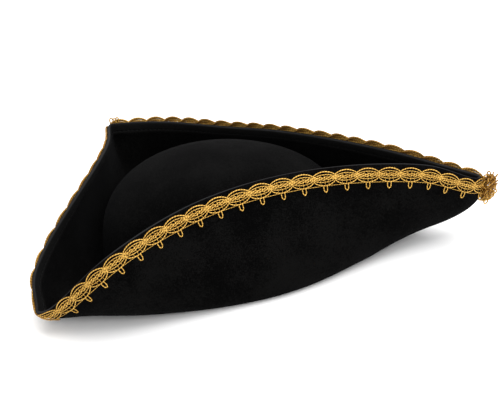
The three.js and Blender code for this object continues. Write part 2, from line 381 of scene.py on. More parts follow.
    def stitch(
        self, made: Recipe, along: Socket, down: Socket, colour: Socket, normal: Socket
    ) -> tuple[Socket, Socket]:
        """Work the stitched line in.

        Args:
            made: The material.
            along: The distance along the edge.
            down: The distance down from it.
            colour: The felt's colour.
            normal: The felt's normal.

        Returns:
            The new colour and the new normal.
        """
        line, groove = self.stitch_line, self.stitch_groove
        rise, fall = made.step(down, line - groove, line), made.step(down, line, line + groove, 1.0, 0.0)
        depth = made.math("MULTIPLY", rise, fall)
        beat = made.math("FRACT", made.math("DIVIDE", along, self.stitch_pitch))
        rise, fall = made.step(beat, *self.stitch_rise), made.step(beat, *self.stitch_fall, 1.0, 0.0)
        dash = made.math("MULTIPLY", rise, fall)
        thread = made.math("MULTIPLY", dash, made.step(depth, *self.thread_edge))
        height = made.math("MULTIPLY_ADD", thread, self.thread_height, made.math("SUBTRACT", 1.0, depth))
        normal = made.bump(height, self.stitch_depth, self.relief, normal)
        # Painted highlight: the felt down to just below the line is made paler, as a raised band catching
        # the light.
        band = made.step(down, line + groove / 2, line + groove * 3, self.band_highlight, 0.0)
        colour = made.blend(band, colour, self.light)
        return made.blend(made.math("MULTIPLY", thread, self.thread_light), colour, self.pale_and_highlight), normal


@dataclass(frozen=True)
class GoldFinish:
    """Gold gimp cord: a bright thread wound round a core, with painted shade on the cords' sides and painted
    highlight where they face out or back.

    Args:
        deep: The painted shade colour, on the cords' sides and on cords kept in shade.
        body: The colour of the plain cord.
        bright: The colour of the bright thread, shown on the winding and as painted highlight where a cord
            faces out or back.
        metal: How metallic it is.
        specular: The strength of its reflection.
        winding: The length of one turn of the thread.
        ridge: Where in a turn the thread is up, and starts to go down.
        patch: The cleaner and duller stretches.
        glint: The single fibres.
        glitter: How much the fibres vary the painted light.
        shares: How much the ridge, the stretches and the painted light add to the brightness.
        painted_light: The painted light at which the bright gold starts to tell, and tells fully.
        shade_fade: The painted light at which the colour is the painted shade, and is plain.
        tones: The brightness at which the colour is the shaded body, and is bright.
        roughness: The roughness of the darkest and the palest fibres.
        fibre_height: How high the fibres stand on the ridge.
        depth: How deep the winding is.
        relief: How strong its relief is.
    """

    deep: Colour = (0.055, 0.018, 0.0015)
    body: Colour = (0.25, 0.108, 0.011)
    bright: Colour = (0.84, 0.52, 0.115)
    metal: float = 0.6
    specular: float = 0.3
    winding: float = 2.2 * MM
    ridge: Range = (0.4, 0.6)
    patch: Grain = Grain(120.0)
    glint: Grain = Grain(1500.0, 4.0, 0.6)
    glitter: float = 0.9
    shares: tuple[float, float, float] = (0.4, 0.4, 0.5)
    painted_light: Range = (0.3, 1.1)
    shade_fade: Range = (-0.35, 0.55)
    tones: Range = (0.45, 1.1)
    roughness: Range = (0.3, 0.55)
    fibre_height: float = 0.3
    depth: float = 0.16 * MM
    relief: float = 0.7

    def build(self) -> bpy.types.Material:
        """Make the cords' material, whose winding follows the length of each cord.

        Returns:
            The material.
        """
        made = Recipe("gold_gimp")
        place = made.node("ShaderNodeTexCoord").outputs["Object"]
        crown = made.node("ShaderNodeAttribute", attribute_name=PAINTED_LIGHT_ATTR).outputs["Fac"]
        uv = made.node("ShaderNodeUVMap", uv_map=EDGE_UV).outputs[0]
        along, round_it = made.node("ShaderNodeSeparateXYZ", {0: uv}).outputs[:2]
        turns = made.math("DIVIDE", along, self.winding)
        beat = made.math("FRACT", made.math("ADD", turns, round_it))
        rise, fall = made.step(beat, 0.0, self.ridge[0]), made.step(beat, self.ridge[1], 1.0, 1.0, 0.0)
        ridge = made.math("MULTIPLY", rise, fall)
        patch = made.noise(place, self.patch)
        glint = made.noise(place, self.glint)
        by_ridge, by_patch, by_painted_light = self.shares
        # Painted light: the crown attribute is high where a cord faces out or back and low on its sides,
        # with the fibres' noise on top.
        painted_light = made.math("MULTIPLY_ADD", made.math("SUBTRACT", glint, 0.5), self.glitter, crown)
        share = made.math("MULTIPLY_ADD", ridge, by_ridge, made.math("MULTIPLY", patch, by_patch))
        share = made.math("MULTIPLY_ADD", made.step(painted_light, *self.painted_light), by_painted_light, share)
        # Painted shade: where the painted light is low the colour goes to the deep colour.
        shaded_body = made.blend(made.step(painted_light, *self.shade_fade), self.deep, self.body)
        height = made.math("MULTIPLY_ADD", glint, self.fibre_height, ridge)
        return made.finish(
            Base_Color=made.blend(made.step(share, *self.tones), shaded_body, self.bright),
            Roughness=made.step(glint, *NOISE_RANGE, *self.roughness),
            Normal=made.bump(height, self.depth, self.relief),
            Metallic=self.metal,
            Specular_IOR_Level=self.specular,
        )


@dataclass(frozen=True)
class FloorFinish:
    """A plain white paper floor.

    Args:
        colour: The paper's colour.
        roughness: Its roughness.
        tooth: Its fine relief.
        depth: How deep that is.
        relief: How strong it is.
    """

    colour: Colour = (0.93, 0.93, 0.93)
    roughness: float = 0.9
    tooth: Grain = Grain(400.0)
    depth: float = 0.02 * MM
    relief: float = 0.2

    def build(self) -> bpy.types.Material:
        """Make the floor's material, with a trace of tooth.

        Returns:
            The material.
        """
        made = Recipe("white_paper")
        place = made.node("ShaderNodeTexCoord").outputs["Object"]
        return made.finish(
            Base_Color=(*self.colour, 1.0),
            Roughness=self.roughness,
            Normal=made.bump(made.noise(place, self.tooth), self.depth, self.relief),
            Specular_IOR_Level=0.0,
        )


def object_of(name: str, mesh: bpy.types.Mesh, materials: list[bpy.types.Material]) -> bpy.types.Object:
    """Put a finished mesh in the scene as a smooth piece at the origin.

    Args:
        name: The piece's name.
        mesh: Its mesh, already in place.
        materials: Its materials in order.

    Returns:
        The object.
    """
    made = bpy.data.objects.new(name, mesh)
    bpy.context.scene.collection.objects.link(made)
    for material in materials:
        mesh.materials.append(material)
    mesh.shade_smooth()
    return made


def applied(made: bpy.types.Object) -> bpy.types.Mesh:
    """Work an object's modifiers, or its curve's bevel, in.

    Args:
        made: The object.

    Returns:
        The finished mesh.
    """
    bpy.context.view_layer.update()
    graph = bpy.context.evaluated_depsgraph_get()
    return bpy.data.meshes.new_from_object(made.evaluated_get(graph))


@dataclass
class FeltShell:
    """The hat's felt: the solid's faces joined to quads, rounded, and marked by side.

    Args:
        name: The piece's name.
        node: The solid that it is made from.
        levels: How many times it is subdivided.
        rim_crease: How sharp the rim's edges stay.
        wall: The felt's thickness.
        weld: How near corners are the same one.
        facing: How squarely a wall's two faces look away from each other, at most.
        fold: The fold in degrees over which two triangles aren't joined.
        skew: How far from square the joined face may be, in degrees.
        finish: The felt's finish.
    """

    name: str = "felt_shell"
    node: str = "felt_body"
    levels: int = 2
    rim_crease: float = 0.82
    wall: float = 2.4 * MM
    weld: float = 0.01 * MM
    facing: float = -0.5
    fold: float = 60.0
    skew: float = 80.0
    finish: FeltFinish = FeltFinish()
    piece: bpy.types.Object = field(init=False)

    def build(self) -> bpy.types.Object:
        """Make the felt piece and dress it.

        Returns:
            The felt piece.
        """
        bm = bmesh.new()
        bm.from_mesh(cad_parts[self.node].data)
        bmesh.ops.remove_doubles(bm, verts=bm.verts, dist=self.weld)
        self.mark_sides(bm)
        fold, skew = math.radians(self.fold), math.radians(self.skew)
        limits = {"angle_face_threshold": fold, "angle_shape_threshold": skew}
        bmesh.ops.join_triangles(bm, faces=bm.faces[:], cmp_materials=True, **limits)
        crease = bm.edges.layers.float.new("crease_edge")
        for edge in bm.edges:
            if len({face.material_index for face in edge.link_faces}) > 1:
                edge[crease] = self.rim_crease
        mesh = bpy.data.meshes.new(self.name)
        bm.to_mesh(mesh)
        bm.free()
        rough = object_of(self.name + "_rough", mesh, [])
        round_off = rough.modifiers.new("round", "SUBSURF")
        round_off.levels = round_off.render_levels = self.levels
        smooth = applied(rough)
        bpy.data.objects.remove(rough)
        smooth.name = self.name
        self.piece = object_of(self.name, smooth, [self.finish.build(side) for side in Side])
        return self.piece

    def mark_sides(self, bm: bmesh.types.BMesh) -> None:
        """Number each face by its side: the rim is where the wall isn't thin straight through the felt.

        Args:
            bm: The felt.
        """
        tree = BVHTree.FromBMesh(bm)
        for face in bm.faces:
            start = face.calc_center_median() - face.normal * self.weld
            back, depth = tree.ray_cast(start, -face.normal)[1::2]
            through = back is not None and depth < 2 * self.wall and back.dot(face.normal) < self.facing
            face.material_index = (Side.INNER if through else Side.RIM).value
        waiting = [min(bm.faces, key=lambda face: (face.calc_center_median().z, face.normal.z))]
        while waiting:
            face = waiting.pop()
            face.material_index = Side.OUTER.value
            nearby = (other for edge in face.edges for other in edge.link_faces)
            waiting += [other for other in nearby if other.material_index == Side.INNER.value]


@dataclass
class EdgeMap:
    """Coordinates on the felt's outer face: along its edge, down from it and out from the felt.

    Args:
        felt: The felt piece.
        spacing: How far apart its columns are along the edge.
        step: How far apart its rows are.
        steps: How many steps it goes down.
        window: The length of edge, to each side, over which the edge's direction is taken.
        probe: How far from the edge the felt is looked for.
        least: How far down it then has to be.
        evenings: How many times neighbours are evened out.
        crown_middle: The crown's middle in plan.
    """

    felt: bpy.types.Object
    spacing: float = 1.5 * MM
    step: float = 1.0 * MM
    steps: int = 20
    window: float = 7.0 * MM
    probe: float = 3.0 * MM
    least: float = 1.0 * MM
    evenings: int = 2
    crown_middle: tuple[float, float] = (-0.0405, 0.0093)
    total: float = field(init=False)
    count: int = field(init=False)
    grid: np.ndarray = field(init=False)
    ups: np.ndarray = field(init=False)
    corners: dict[Corner, float] = field(init=False)

    def __post_init__(self) -> None:
        """Trace the edge from the front corner round by the right side, and march down from it."""
        places, self.total = self.even(self.trace(Side.OUTER))
        self.count = len(places)
        reach = max(2, round(self.window / (self.total / self.count)))
        ways = np.roll(places, -reach, 0) - np.roll(places, reach, 0)
        tree = self.outer_tree()
        grid = np.zeros((self.count, self.steps + 1, 3))
        ups = np.zeros_like(grid)
        for i, (start, way) in enumerate(zip(places, ways)):
            point, normal = tree.find_nearest(Vector(start))[:2]
            down = normal.cross(Vector(way)).normalized()
            found = tree.find_nearest(point + down * self.probe)[0]
            if (found - point).dot(down) < self.least:
                down = -down
            for k in range(self.steps + 1):
                grid[i, k], ups[i, k] = point, normal
                nearest, turned = tree.find_nearest(point + down * self.step)[:2]
                moved = (nearest - point).normalized()
                down = (moved - turned * moved.dot(turned)).normalized()
                point, normal = nearest, turned
        self.grid = self.softened(grid)
        self.ups = self.softened(ups)
        self.ups /= np.linalg.norm(self.ups, axis=2, keepdims=True)
        self.corners = {corner: self.corner_at(places, corner) for corner in Corner}

    def trace(self, side: Side) -> np.ndarray:
        """Trace the line where a side meets the rim.

        Args:
            side: The inner or the outer side.

        Returns:
            Its points in order from the front corner, by the right side.
        """
        bm = bmesh.new()
        bm.from_mesh(self.felt.data)
        wanted = {side.value, Side.RIM.value}
        ring = [e for e in bm.edges if {f.material_index for f in e.link_faces} == wanted]
        inside = set(ring)
        start = max((v for e in ring for v in e.verts), key=lambda v: v.co.x)
        order = [start]
        edge = min((e for e in start.link_edges if e in inside), key=lambda e: e.other_vert(start).co.y)
        vert = edge.other_vert(start)
        while vert != start:
            order.append(vert)
            edge = next(e for e in vert.link_edges if e in inside and e != edge)
            vert = edge.other_vert(vert)
        line = np.array([v.co for v in order])
        bm.free()
        return line

    def even(self, line: np.ndarray) -> tuple[np.ndarray, float]:
        """Spread points evenly along a closed line.

        Args:
            line: The line's points.

        Returns:
            The new points, and the line's length.
        """
        closed = np.vstack([line, line[:1]])
        lengths = np.concatenate([[0], np.cumsum(np.linalg.norm(np.diff(closed, axis=0), axis=1))])
        total = float(lengths[-1])
        marks = np.arange(round(total / self.spacing)) * total / round(total / self.spacing)
        return np.stack([np.interp(marks, lengths, closed[:, k]) for k in range(3)], 1), total

    def outer_tree(self) -> BVHTree:
        """Make a search tree of the felt's outer face alone.

        Returns:
            The tree.
        """
        bm = bmesh.new()
        bm.from_mesh(self.felt.data)
        others = [f for f in bm.faces if f.material_index != Side.OUTER.value]
        bmesh.ops.delete(bm, geom=others, context="FACES")
        tree = BVHTree.FromBMesh(bm)
        bm.free()
        return tree

    def softened(self, values: np.ndarray) -> np.ndarray:
        """Even out small jumps between neighbours along the edge.

        Args:
            values: The grid's values.

        Returns:
            The evener values.
        """
        for _ in range(self.evenings):
            values = (np.roll(values, 1, 0) + 2 * values + np.roll(values, -1, 0)) / 4
        return values

    def corner_at(self, places: np.ndarray, corner: Corner) -> float:
        """Find a corner's tip.

        Args:
            places: Even points along the edge.
            corner: The corner.

        Returns:
            How far along the edge its tip lies.
        """
        turn = math.radians(corner.value)
        far = (places[:, :2] - self.crown_middle) @ np.array([math.cos(turn), math.sin(turn)])
        return float(np.argmax(far)) * self.total / self.count

    def place(self, along: float, down: float, out: float) -> Spot:
        """Turn edge coordinates into a point.

        Args:
            along: Distance along the edge from the front corner, by the right side.
            down: Distance down from the edge, less than 0 above it.
            out: Distance out from the felt.

        Returns:
            The point, and the outward direction there.
        """
        spot = along / self.total * self.count
        i, share = int(math.floor(spot)), spot % 1.0
        level = min(max(down / self.step, 0.0), self.steps - 1e-6)
        k, part = int(level), level % 1.0
        point, up = np.zeros(3), np.zeros(3)
        for column, weight in ((i % self.count, 1 - share), ((i + 1) % self.count, share)):
            for row, portion in ((k, 1 - part), (k + 1, part)):
                point += self.grid[column, row] * weight * portion
                up += self.ups[column, row] * weight * portion
            if down < 0:
                straight = self.grid[column, 0] - self.grid[column, 2]
                point += straight / np.linalg.norm(straight) * -down * weight
        up /= np.linalg.norm(up)
        return Vector(point + up * out), Vector(up)

    def mark_felt(self) -> None:
        """Give the felt's corners their distance along the inner edge and down from it."""
        mesh = self.felt.data
        places, total = self.even(self.trace(Side.INNER))
        spots = np.zeros(len(mesh.vertices) * 3)
        mesh.vertices.foreach_get("co", spots)
        spots = spots.reshape(-1, 3)
        nearest, away = np.zeros(len(spots)), np.full(len(spots), 1e9)
        step = total / len(places)
        for i, (start, end) in enumerate(zip(places, np.roll(places, -1, 0))):
            way = end - start
            share = np.clip((spots - start) @ way / (way @ way), 0, 1)
            gap = np.linalg.norm(spots - start - share[:, None] * way, axis=1)
            closer = gap < away
            away[closer] = gap[closer]
            nearest[closer] = (i + share[closer]) * step
        corner_of = np.zeros(len(mesh.loops), int)
        mesh.loops.foreach_get("vertex_index", corner_of)
        along, down = nearest[corner_of], away[corner_of]
        starts = np.array([polygon.loop_start for polygon in mesh.polygons])
        sizes = np.array([polygon.loop_total for polygon in mesh.polygons])
        first = np.repeat(along[starts], sizes)
        along = along - total * np.round((along - first) / total)
        for layer in list(mesh.uv_layers):
            mesh.uv_layers.remove(layer)
        layer = mesh.uv_layers.new(name=EDGE_UV)
        layer.data.foreach_set("uv", np.stack([along, down], 1).ravel())


@dataclass(frozen=True)
class Cord:
    """One cord to lay.

    Args:
        points: Its middle line.
        outs: The outward direction at each point.
        radius: Half its thickness.
        closed: Whether it joins up.
        lit_share: Its share of the painted light that makes the gold bright, 0 for a cord in painted shade,
            as if in the shade of others.
    """

    points: list[Vector]
    outs: list[Vector]
    radius: float
    closed: bool = False
    lit_share: float = 1.0

    def lengths(self) -> list[float]:
        """Return how far along the cord each point lies."""
        steps = [(b - a).length for a, b in zip(self.points, self.points[1:])]
        return [0.0, *itertools.accumulate(steps)]


@dataclass
class Cords:
    """Round cords gathered into one mesh, each with coordinates along it and round it.

    Args:
        name: The piece's name.
        sides: How many faces each cord has round it.
        laid: The cords.
    """

    name: str
    sides: int = 8
    laid: list[Cord] = field(default_factory=list)

    def lay(self, spots: list[Spot], radius: float, closed: bool = False, lit_share: float = 1.0) -> None:
        """Lay a cord through points that have outward directions, with its radius in millimetres."""
        points, outs = zip(*spots)
        self.laid.append(Cord(points, outs, radius * MM, closed, lit_share))

    def build(self, finish: bpy.types.Material) -> bpy.types.Object:
        """Make the mesh of all the cords and dress it.

        Args:
            finish: The cords' material.

        Returns:
            The piece.
        """
        bm = bmesh.new()
        for closed in (True, False):
            cords = [cord for cord in self.laid if cord.closed is closed]
            if cords:
                bm.from_mesh(self.tubes(cords, closed))
        ends = [edge for edge in bm.edges if edge.is_boundary]
        bmesh.ops.holes_fill(bm, edges=ends, sides=self.sides)
        bmesh.ops.recalc_face_normals(bm, faces=bm.faces)
        whole = bpy.data.meshes.new(self.name)
        bm.to_mesh(whole)
        bm.free()
        return object_of(self.name, whole, [finish])

    def tubes(self, cords: list[Cord], closed: bool) -> bpy.types.Mesh:
        """Bevel a curve through each cord's points.

        Args:
            cords: The cords, all closed or all open.
            closed: Which of the two they are.

        Returns:
            One mesh with all the tubes.
        """
        curve = bpy.data.curves.new(self.name, "CURVE")
        curve.dimensions = "3D"
        curve.bevel_depth = 1.0
        curve.bevel_resolution = self.sides // 2 - 2
        for cord in cords:
            spline = curve.splines.new("POLY")
            spline.points.add(len(cord.points) - 1)
            spline.use_cyclic_u = closed
            for knot, point in zip(spline.points, cord.points):
                knot.co = (*point, 1.0)
                knot.radius = cord.radius
        carrier = bpy.data.objects.new(self.name, curve)
        bpy.context.scene.collection.objects.link(carrier)
        mesh = applied(carrier)
        bpy.data.objects.remove(carrier)
        self.measure(mesh, cords)
        return mesh

    def measure(self, mesh: bpy.types.Mesh, cords: list[Cord]) -> None:
        """Write each corner's place along and round its cord, and how far out or in each point faces, as the
        painted light on the gold.

        Args:
            mesh: The tubes.
            cords: Their cords, in the same order.
        """
        points = np.array([list(point) for cord in cords for point in cord.points])
        outs = np.array([list(out) for cord in cords for out in cord.outs])
        radii = np.repeat([cord.radius for cord in cords], [len(cord.points) for cord in cords])
        spots = np.zeros(len(mesh.vertices) * 3)
        mesh.vertices.foreach_get("co", spots)
        ways = spots.reshape(len(points), self.sides, 3) - points[:, None]
        lit_share = np.repeat([cord.lit_share for cord in cords], [len(cord.points) for cord in cords])
        # Painted light: high where the cord faces out or back, low on its sides, and scaled by the cord's
        # lit share.
        crown = np.abs((ways * outs[:, None]).sum(2)) * (lit_share / radii)[:, None]
        mesh.attributes.new(PAINTED_LIGHT_ATTR, "FLOAT", "POINT").data.foreach_set("value", crown.ravel())
        along = np.repeat(np.concatenate([cord.lengths() for cord in cords]), self.sides)
        round_it = np.tile(np.arange(self.sides) / self.sides, len(along) // self.sides)
        corners = np.zeros(len(mesh.loops), int)
        mesh.loops.foreach_get("vertex_index", corners)
        starts = np.array([polygon.loop_start for polygon in mesh.polygons])
        sizes = np.array([polygon.loop_total for polygon in mesh.polygons])
        turn = round_it[corners]
        turn = turn - np.round(turn - np.repeat(turn[starts], sizes))
        for layer in list(mesh.uv_layers):
            mesh.uv_layers.remove(layer)
        layer = mesh.uv_layers.new(name=EDGE_UV)
        layer.data.foreach_set("uv", np.stack([along[corners], turn], 1).ravel())


@dataclass(frozen=True)
class Bow:
    """A cord that bows from neck to neck of a motif, in millimetres down from the scallop's top.

    Args:
        neck: How far down it is at the necks.
        middle: How far down it is in the motif's middle.
        fullness: Power of its bow: the less, the rounder.
        tail: How far it runs past the necks, as a share of the motif.
        tail_down: How far down its tails end.
        radius: Half its thickness.
        over: How far it stands out at the left neck, and is tucked in at the right one.
        lit_share: Its share of the painted light that makes the gold bright.
    """

    neck: float
    middle: float
    fullness: float
    tail: float
    tail_down: float
    radius: float
    over: float
    lit_share: float = 1.0

    def down(self, share: float) -> float:
        """Work out how far down the cord is.

        Args:
            share: The place along the motif, 0 at its left neck and 1 at its right one.

        Returns:
            The millimetres down from the scallop's top.
        """
        past = max(-share, share - 1.0, 0.0)
        if past > 0:
            return self.neck + (self.tail_down - self.neck) * past / self.tail
        return self.neck + (self.middle - self.neck) * math.sin(math.pi * share) ** self.fullness


@dataclass(frozen=True)
class Tuft:
    """The small loops that stand up over the corner at a braid's start, in millimetres.

    Args:
        first: How many motifs along the first one stands.
        apart: How many motifs lie between two.
        half_width: Half a loop's width in motifs.
        root: How far down a loop starts.
        lengths: The lengths of every other loop.
        inward: How much further in each next loop stands.
        radius: Half the cord's thickness.
        points: How many points a loop has.
    """

    first: float = 0.09
    apart: float = 0.15
    half_width: float = 0.08
    root: float = 4.2
    lengths: tuple[float, float] = (6.0, 5.2)
    inward: float = 0.4
    radius: float = 0.6
    points: int = 15


@dataclass
class GimpBraid:
    """One flap's length of scalloped gimp braid, laid along the felt's edge, in millimetres.

    Args:
        flap: The flap that it edges.
        start: Where it starts along the edge, in metres.
        end: Where it ends, in metres.
        drops: How far down from the edge the scallops' tops lie, at even steps along it.
        motifs: How many motifs it has.
        bunch: How many motifs' room is lost where they are bunched at its start.
        bunch_reach: How many motifs along that is felt.
        height: How far its middle stands out from the felt.
        lowest: How far above the floor its cords stay.
        bows: Its bowed cords.
        plait: How far down the plaited cords run in the motifs' middles.
        plait_neck: How far down they run at the necks.
        waves: How many waves they make in a motif.
        wave_points: How many points a wave has.
        swing: How far they swing up and down.
        weave: How far they swing in and out.
        plait_radius: Half their thickness.
        bow_points: How many points a bow has.
        ribs: Where the cross cords start, in motifs from the middle.
        rib_spread: How much wider apart they end.
        rib_turns: How often they weave in and out.
        rib_weave: How far they do.
        rib_radius: Half their thickness.
        rib_points: How many points they have.
        loop_width: The width of the loop under a motif.
        loop_length: Its length.
        loop_inward: How much further in than the rest it lies.
        loop_radius: Half its thickness.
        loop_points: How many points it has.
        thread_down: How far down the thread between two loops lies.
        thread_out: How far out it lies.
        thread_radius: Half its thickness.
        thread_points: How many points it has.
        stout: How many times as thick as these its cords are, apart from the loops and their threads.
        tufts: How many small loops stand up at its start.
        tuft: Their sizes.
    """

    flap: Flap
    start: float
    end: float
    drops: tuple[float, ...]
    motifs: int
    bunch: float = 0.0
    bunch_reach: float = 1.2
    height: float = 1.3
    lowest: float = 0.8
    bows: tuple[Bow, ...] = (
        Bow(3.7, 0.4, 0.7, 0.20, 5.8, 0.46, 0.35),
        Bow(4.6, 2.7, 0.8, 0.10, 5.6, 0.36, 0.25),
        Bow(6.3, 8.6, 0.6, 0.16, 4.8, 0.36, -0.35),
        Bow(7.1, 11.3, 0.55, 0.05, 6.2, 0.46, -0.2),
    )
    plait: tuple[float, ...] = (4.9, 5.7, 6.5)
    plait_neck: tuple[float, ...] = (4.3, 5.3, 6.3)
    waves: int = 4
    wave_points: int = 6
    swing: float = 0.4
    weave: float = 0.35
    plait_radius: float = 0.5
    bow_points: int = 29
    ribs: tuple[float, ...] = (-0.15, 0.0, 0.15)
    rib_spread: float = 1.3
    rib_turns: int = 3
    rib_weave: float = 0.3
    rib_radius: float = 0.2
    rib_points: int = 13
    loop_width: float = 3.9
    loop_length: float = 5.0
    loop_inward: float = 0.2
    loop_radius: float = 0.46
    loop_points: int = 23
    thread_down: float = 11.5
    thread_out: float = 0.7
    thread_radius: float = 0.24
    thread_points: int = 7
    stout: float = 1.0
    tufts: int = 0
    tuft: Tuft = Tuft()

    def place(self, edge: EdgeMap, along: float, down: float, out: float) -> Spot:
        """Turn a place on the braid into a point.

        Args:
            edge: The felt's edge coordinates.
            along: How many motifs along it lies.
            down: How many millimetres down from the scallops' tops.
            out: How many millimetres out from the felt.

        Returns:
            The point, and the outward direction there.
        """
        along = min(max(along, 0.0), float(self.motifs))
        share = along / self.motifs * (len(self.drops) - 1)
        k = min(int(share), len(self.drops) - 2)
        part = (share - k) ** 2 * (3 - 2 * (share - k))
        drop = self.drops[k] + (self.drops[k + 1] - self.drops[k]) * part
        even = along - self.bunch * (1 - math.exp(-along / self.bunch_reach))
        at = self.start + (self.end - self.start) * even / (self.motifs - self.bunch)
        point, outward = edge.place(at, (drop + down) * MM, out * MM)
        point.z = max(point.z, self.lowest * MM)
        return point, outward

    def build(self, edge: EdgeMap, finish: bpy.types.Material) -> bpy.types.Object:
        """Lay all the cords and dress them.

        Args:
            edge: The felt's edge coordinates.
            finish: The cords' material.

        Returns:
            The braid piece.
        """
        cords = Cords(f"gimp_{self.flap.name.lower()}")
        self.lay_plait(cords, edge)
        for motif in range(self.motifs):
            self.lay_bows(cords, edge, motif)
            self.lay_ribs(cords, edge, motif)
            self.lay_loop(cords, edge, motif)
        for tuft in range(self.tufts):
            self.lay_tuft(cords, edge, tuft)
        return cords.build(finish)

    def lay_tuft(self, cords: Cords, edge: EdgeMap, tuft: int) -> None:
        """Lay one small loop that stands up over the corner, each further on and higher or lower.

        Args:
            cords: Where the cord goes.
            edge: The felt's edge coordinates.
            tuft: The loop's number.
        """
        size = self.tuft
        line = []
        for i in range(size.points):
            turn = 2 * math.pi * i / size.points
            along = size.first + size.apart * tuft + size.half_width * math.sin(turn)
            down = size.root - size.lengths[tuft % 2] * (1 - math.cos(turn)) / 2
            line.append(self.place(edge, along, down, self.height - size.inward * tuft))
        cords.lay(line, size.radius, closed=True)

    def lay_plait(self, cords: Cords, edge: EdgeMap) -> None:
        """Lay the plaited cords that run through all the motifs.

        Args:
            cords: Where the cords go.
            edge: The felt's edge coordinates.
        """
        steps = self.wave_points * self.waves
        for k, (middle, neck) in enumerate(zip(self.plait, self.plait_neck)):
            line = []
            for i in range(self.motifs * steps + 1):
                along = i / steps
                swell = math.sin(math.pi * (along % 1.0))
                turn = 2 * math.pi * self.waves * along + math.pi * k
                down = neck + (middle - neck) * swell + self.swing * math.sin(turn)
                line.append(self.place(edge, along, down, self.height + self.weave * math.cos(turn)))
            cords.lay(line, self.plait_radius * self.stout)

    def lay_bows(self, cords: Cords, edge: EdgeMap, motif: int) -> None:
        """Lay one motif's bowed cords, over at its left neck and under at its right one.

        Args:
            cords: Where the cords go.
            edge: The felt's edge coordinates.
            motif: The motif's number.
        """
        for bow in self.bows:
            line = []
            for i in range(self.bow_points):
                share = -bow.tail + i / (self.bow_points - 1) * (1 + 2 * bow.tail)
                out = self.height + bow.over * math.cos(math.pi * min(max(share, 0.0), 1.0))
                line.append(self.place(edge, motif + share, bow.down(share), out))
            cords.lay(line, bow.radius * self.stout, lit_share=bow.lit_share)

    def lay_ribs(self, cords: Cords, edge: EdgeMap, motif: int) -> None:
        """Lay one motif's thin cross cords, from its second bow to its last.

        Args:
            cords: Where the cords go.
            edge: The felt's edge coordinates.
            motif: The motif's number.
        """
        upper, lower = self.bows[1], self.bows[-1]
        for k, rib in enumerate(self.ribs):
            top, foot = 0.5 + rib, 0.5 + rib * self.rib_spread
            low, high = upper.down(top), lower.down(foot)
            line = []
            for i in range(self.rib_points):
                t = i / (self.rib_points - 1)
                out = self.height + self.rib_weave * math.cos(math.pi * (2 * self.rib_turns * t + k))
                line.append(self.place(edge, motif + top + (foot - top) * t, low + (high - low) * t, out))
            cords.lay(line, self.rib_radius * self.stout)

    def lay_loop(self, cords: Cords, edge: EdgeMap, motif: int) -> None:
        """Lay the loop that hangs from a motif's last bow, and the thread on to the next motif.

        Args:
            cords: Where the cords go.
            edge: The felt's edge coordinates.
            motif: The motif's number.
        """
        pitch = (self.end - self.start) / self.motifs / MM
        half = self.loop_width / pitch / 2
        foot = self.bows[-1].middle
        loop = []
        for i in range(self.loop_points):
            turn = math.pi * i / (self.loop_points - 1)
            wide = half * math.cos(turn) * (0.7 + 0.3 * math.sin(turn))
            down = foot + self.loop_length * math.sin(turn) ** 0.85
            loop.append(self.place(edge, motif + 0.5 - wide, down, self.height - self.loop_inward))
        cords.lay(loop, self.loop_radius)
        if motif + 1 < self.motifs:
            first, last = motif + 0.5 + half, motif + 1.5 - half
            marks = np.linspace(first, last, self.thread_points)
            line = [self.place(edge, float(mark), self.thread_down, self.thread_out) for mark in marks]
            cords.lay(line, self.thread_radius)


@dataclass
class FilledBraid(GimpBraid):
    """A braid whose cords look stouter, with two more in painted shade that fill the scallops' tops."""

    stout: float = 1.3
    bows: tuple[Bow, ...] = GimpBraid.bows + (
        # These two carry no painted light: they are dark cords in painted shade, as in the shaded gaps
        # between cords.
        Bow(4.2, 1.55, 0.75, 0.12, 5.6, 0.5, -0.5, 0.0),
        Bow(4.8, 3.8, 0.85, 0.10, 5.6, 0.5, -0.5, 0.0),
    )


